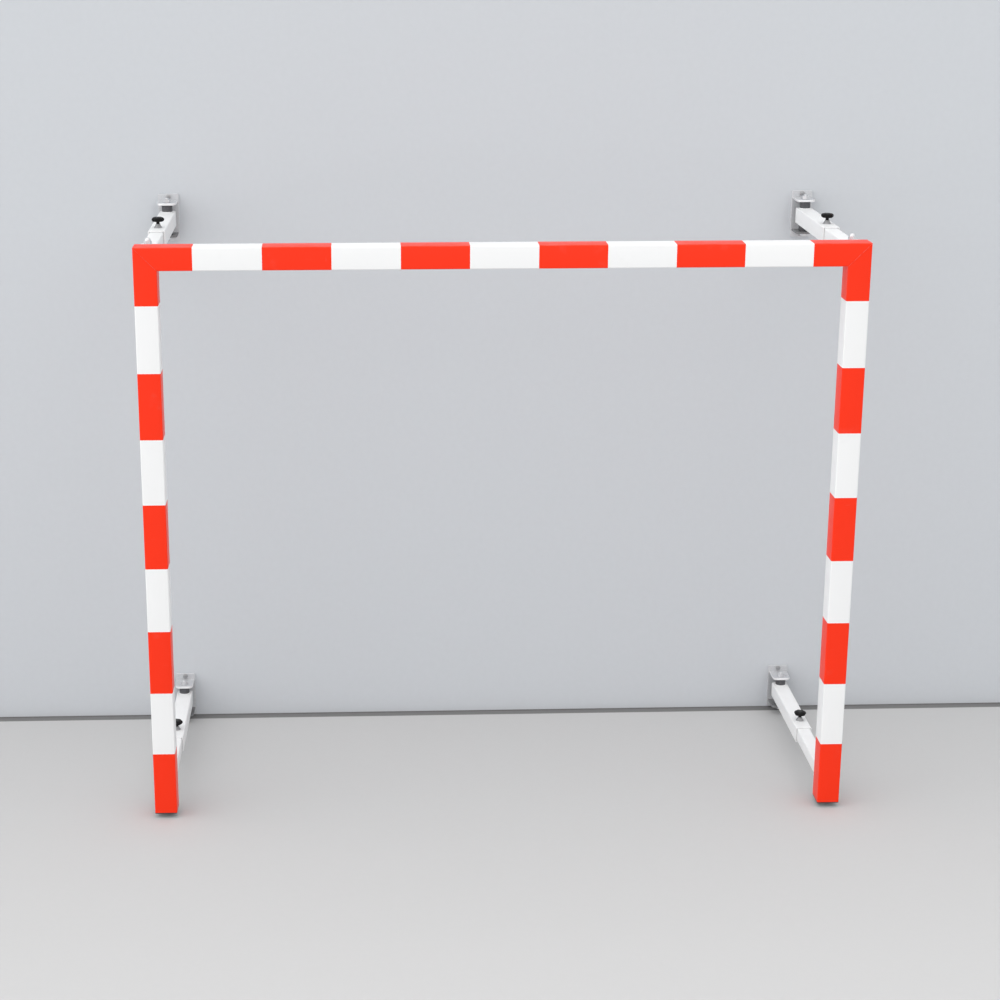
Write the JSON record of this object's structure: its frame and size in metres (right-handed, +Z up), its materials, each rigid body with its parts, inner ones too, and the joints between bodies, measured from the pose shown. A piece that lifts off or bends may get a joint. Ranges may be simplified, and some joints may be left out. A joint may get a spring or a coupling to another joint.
{
  "type": "wall-mounted handball goal",
  "caption": "Square-profile goal frame with red and white bands, carried off a wall on telescopic swing arms that let it be set nearer or farther and folded flat to the wall.",
  "frame": {"origin": "on the wall plane, midway between the wall brackets, level with the feet of the posts", "axes": "+X along the wall to the right as seen from the playing side, +Y into the wall (the goal faces -Y), +Z up"},
  "size_m": [2.51, 0.95, 2.135],
  "materials": {
    "striped_coat": "powder coated in red-orange and white bands on aluminium profile",
    "white_coat": "white powder coat on steel tube and plate",
    "zinc_plated": "zinc plated, satin",
    "cast_metal": "as cast",
    "dark_sleeve": "blackened steel, satin",
    "black_plastic": "moulded, fine grain"
  },
  "bodies": {
    "wall_side": {"wall_bracket_upper_left": "zinc_plated", "wall_anchor_upper_left_top": "zinc_plated", "wall_anchor_upper_left_bottom": "zinc_plated", "wall_hinge_bolt_upper_left": "zinc_plated", "wall_hinge_nut_upper_left": "zinc_plated", "wall_bracket_upper_right": "zinc_plated", "wall_anchor_upper_right_top": "zinc_plated", "wall_anchor_upper_right_bottom": "zinc_plated", "wall_hinge_bolt_upper_right": "zinc_plated", "wall_hinge_nut_upper_right": "zinc_plated", "wall_bracket_lower_left": "zinc_plated", "wall_anchor_lower_left_top": "zinc_plated", "wall_anchor_lower_left_bottom": "zinc_plated", "wall_hinge_bolt_lower_left": "zinc_plated", "wall_hinge_nut_lower_left": "zinc_plated", "wall_bracket_lower_right": "zinc_plated", "wall_anchor_lower_right_top": "zinc_plated", "wall_anchor_lower_right_bottom": "zinc_plated", "wall_hinge_bolt_lower_right": "zinc_plated", "wall_hinge_nut_lower_right": "zinc_plated"},
    "outer_arm_upper_left": {"outer_tube_upper_left": "white_coat", "hinge_sleeve_upper_left": "dark_sleeve", "clamp_boss_upper_left": "zinc_plated"},
    "outer_arm_upper_right": {"outer_tube_upper_right": "white_coat", "hinge_sleeve_upper_right": "dark_sleeve", "clamp_boss_upper_right": "zinc_plated"},
    "outer_arm_lower_left": {"outer_tube_lower_left": "white_coat", "hinge_sleeve_lower_left": "dark_sleeve", "clamp_boss_lower_left": "zinc_plated"},
    "outer_arm_lower_right": {"outer_tube_lower_right": "white_coat", "hinge_sleeve_lower_right": "dark_sleeve", "clamp_boss_lower_right": "zinc_plated"},
    "knob_upper_left": {"clamp_knob_upper_left": "black_plastic"},
    "knob_upper_right": {"clamp_knob_upper_right": "black_plastic"},
    "knob_lower_left": {"clamp_knob_lower_left": "black_plastic"},
    "knob_lower_right": {"clamp_knob_lower_right": "black_plastic"},
    "inner_arm_upper_left": {"inner_tube_upper_left": "white_coat"},
    "inner_arm_upper_right": {"inner_tube_upper_right": "white_coat"},
    "inner_arm_lower_left": {"inner_tube_lower_left": "white_coat"},
    "inner_arm_lower_right": {"inner_tube_lower_right": "white_coat"},
    "goal": {"crossbar": "striped_coat", "post_left": "striped_coat", "post_right": "striped_coat", "corner_joint_left": "cast_metal", "corner_joint_right": "cast_metal", "foot_cap_left": "black_plastic", "foot_cap_right": "black_plastic", "goal_bracket_upper_left": "white_coat", "goal_hinge_bolt_upper_left": "zinc_plated", "goal_hinge_nut_upper_left": "zinc_plated", "goal_bracket_upper_right": "white_coat", "goal_hinge_bolt_upper_right": "zinc_plated", "goal_hinge_nut_upper_right": "zinc_plated", "goal_bracket_lower_left": "white_coat", "goal_hinge_bolt_lower_left": "zinc_plated", "goal_hinge_nut_lower_left": "zinc_plated", "goal_bracket_lower_right": "white_coat", "goal_hinge_bolt_lower_right": "zinc_plated", "goal_hinge_nut_lower_right": "zinc_plated"}
  },
  "joints": [
    {"name": "swing_upper_left", "type": "hinge", "parent": "wall_side", "child": "outer_arm_upper_left", "pos_m": [-1.215, -0.065, 2.035], "axis": [0, 0, 1], "range_deg": [-88, 88]},
    {"name": "swing_upper_right", "type": "hinge", "parent": "wall_side", "child": "outer_arm_upper_right", "pos_m": [1.215, -0.065, 2.035], "axis": [0, 0, 1], "range_deg": [-88, 88]},
    {"name": "swing_lower_left", "type": "hinge", "parent": "wall_side", "child": "outer_arm_lower_left", "pos_m": [-1.215, -0.065, 0.08], "axis": [0, 0, 1], "range_deg": [-88, 88]},
    {"name": "swing_lower_right", "type": "hinge", "parent": "wall_side", "child": "outer_arm_lower_right", "pos_m": [1.215, -0.065, 0.08], "axis": [0, 0, 1], "range_deg": [-88, 88]},
    {"name": "extend_upper_left", "type": "slide", "parent": "outer_arm_upper_left", "child": "inner_arm_upper_left", "axis": [0, -1, 0], "range_m": [-0.12, 0.15]},
    {"name": "extend_upper_right", "type": "slide", "parent": "outer_arm_upper_right", "child": "inner_arm_upper_right", "axis": [0, -1, 0], "range_m": [-0.12, 0.15]},
    {"name": "extend_lower_left", "type": "slide", "parent": "outer_arm_lower_left", "child": "inner_arm_lower_left", "axis": [0, -1, 0], "range_m": [-0.12, 0.15]},
    {"name": "extend_lower_right", "type": "slide", "parent": "outer_arm_lower_right", "child": "inner_arm_lower_right", "axis": [0, -1, 0], "range_m": [-0.12, 0.15]},
    {"name": "turn_goal", "type": "hinge", "parent": "inner_arm_upper_left", "child": "goal", "pos_m": [-1.215, -0.82, 2.035], "axis": [0, 0, 1], "range_deg": [-88, 88]},
    {"name": "screw_knob_upper_left", "type": "hinge", "parent": "outer_arm_upper_left", "child": "knob_upper_left", "pos_m": [-1.215, -0.438, 2.065], "axis": [0, 0, 1], "range_deg": [0, 360]},
    {"name": "screw_knob_upper_right", "type": "hinge", "parent": "outer_arm_upper_right", "child": "knob_upper_right", "pos_m": [1.215, -0.438, 2.065], "axis": [0, 0, 1], "range_deg": [0, 360]},
    {"name": "screw_knob_lower_left", "type": "hinge", "parent": "outer_arm_lower_left", "child": "knob_lower_left", "pos_m": [-1.215, -0.438, 0.11], "axis": [0, 0, 1], "range_deg": [0, 360]},
    {"name": "screw_knob_lower_right", "type": "hinge", "parent": "outer_arm_lower_right", "child": "knob_lower_right", "pos_m": [1.215, -0.438, 0.11], "axis": [0, 0, 1], "range_deg": [0, 360]}
  ],
  "couplings": [
    {"joint": "swing_upper_right", "follows": "swing_upper_left", "ratio": 1},
    {"joint": "swing_lower_left", "follows": "swing_upper_left", "ratio": 1},
    {"joint": "swing_lower_right", "follows": "swing_upper_left", "ratio": 1},
    {"joint": "turn_goal", "follows": "swing_upper_left", "ratio": -1},
    {"joint": "extend_upper_right", "follows": "extend_upper_left", "ratio": 1},
    {"joint": "extend_lower_left", "follows": "extend_upper_left", "ratio": 1},
    {"joint": "extend_lower_right", "follows": "extend_upper_left", "ratio": 1}
  ]
}
